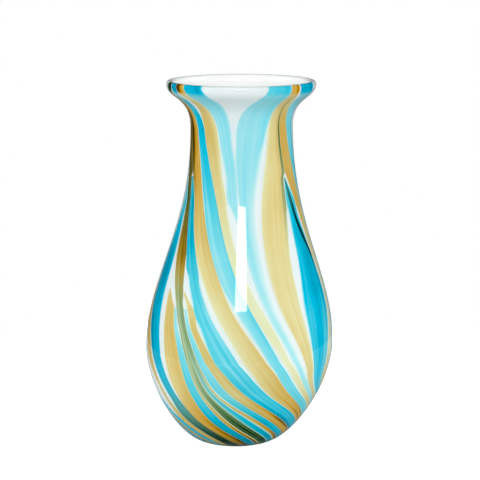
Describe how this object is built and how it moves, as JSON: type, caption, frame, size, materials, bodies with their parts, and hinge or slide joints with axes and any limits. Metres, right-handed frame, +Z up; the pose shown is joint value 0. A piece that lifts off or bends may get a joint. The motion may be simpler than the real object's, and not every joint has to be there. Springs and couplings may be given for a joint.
{
  "type": "vase",
  "caption": "Hand-blown pear-shaped glass vase with a narrow neck, a flared rolled lip and swirling turquoise and amber stripes over a white lining; holds cut flowers.",
  "frame": {"origin": "on the surface that the vase stands on, under the middle of its girth", "axes": "+Z up along the vase to the mouth, -Y towards the front, +X to the right of someone who looks at the front"},
  "size_m": [0.155, 0.155, 0.3],
  "materials": {
    "clear_glass": "fire-polished clear glass",
    "opal_glass": "glossy opal white glass",
    "turquoise_glass": "glossy turquoise glass, paler where it is drawn thin",
    "amber_glass": "glossy amber glass, paler where it is drawn thin",
    "olive_glass": "glossy olive glass where amber and turquoise lie over each other"
  },
  "bodies": {
    "root": {"amber_cane_1a": "amber_glass", "amber_cane_1b": "amber_glass", "amber_cane_2a": "amber_glass", "amber_cane_2b": "amber_glass", "amber_cane_3a": "amber_glass", "amber_cane_3b": "amber_glass", "amber_cane_4a": "amber_glass", "amber_cane_4b": "amber_glass", "amber_cane_5a": "amber_glass", "amber_cane_5b": "amber_glass", "amber_cane_6a": "amber_glass", "amber_cane_6b": "amber_glass", "amber_cane_7a": "amber_glass", "amber_cane_7b": "amber_glass", "clear_casing": "clear_glass", "olive_cane_1a": "olive_glass", "olive_cane_1b": "olive_glass", "opal_liner": "opal_glass", "turquoise_cane_1a": "turquoise_glass", "turquoise_cane_1b": "turquoise_glass", "turquoise_cane_2a": "turquoise_glass", "turquoise_cane_2b": "turquoise_glass", "turquoise_cane_3a": "turquoise_glass", "turquoise_cane_3b": "turquoise_glass", "turquoise_cane_4a": "turquoise_glass", "turquoise_cane_4b": "turquoise_glass", "turquoise_cane_5a": "turquoise_glass", "turquoise_cane_5b": "turquoise_glass", "turquoise_cane_6a": "turquoise_glass", "turquoise_cane_6b": "turquoise_glass", "turquoise_cane_7a": "turquoise_glass", "turquoise_cane_7b": "turquoise_glass", "turquoise_cane_8a": "turquoise_glass", "turquoise_cane_8b": "turquoise_glass", "turquoise_cane_9a": "turquoise_glass", "turquoise_cane_9b": "turquoise_glass"}
  },
  "joints": []
}
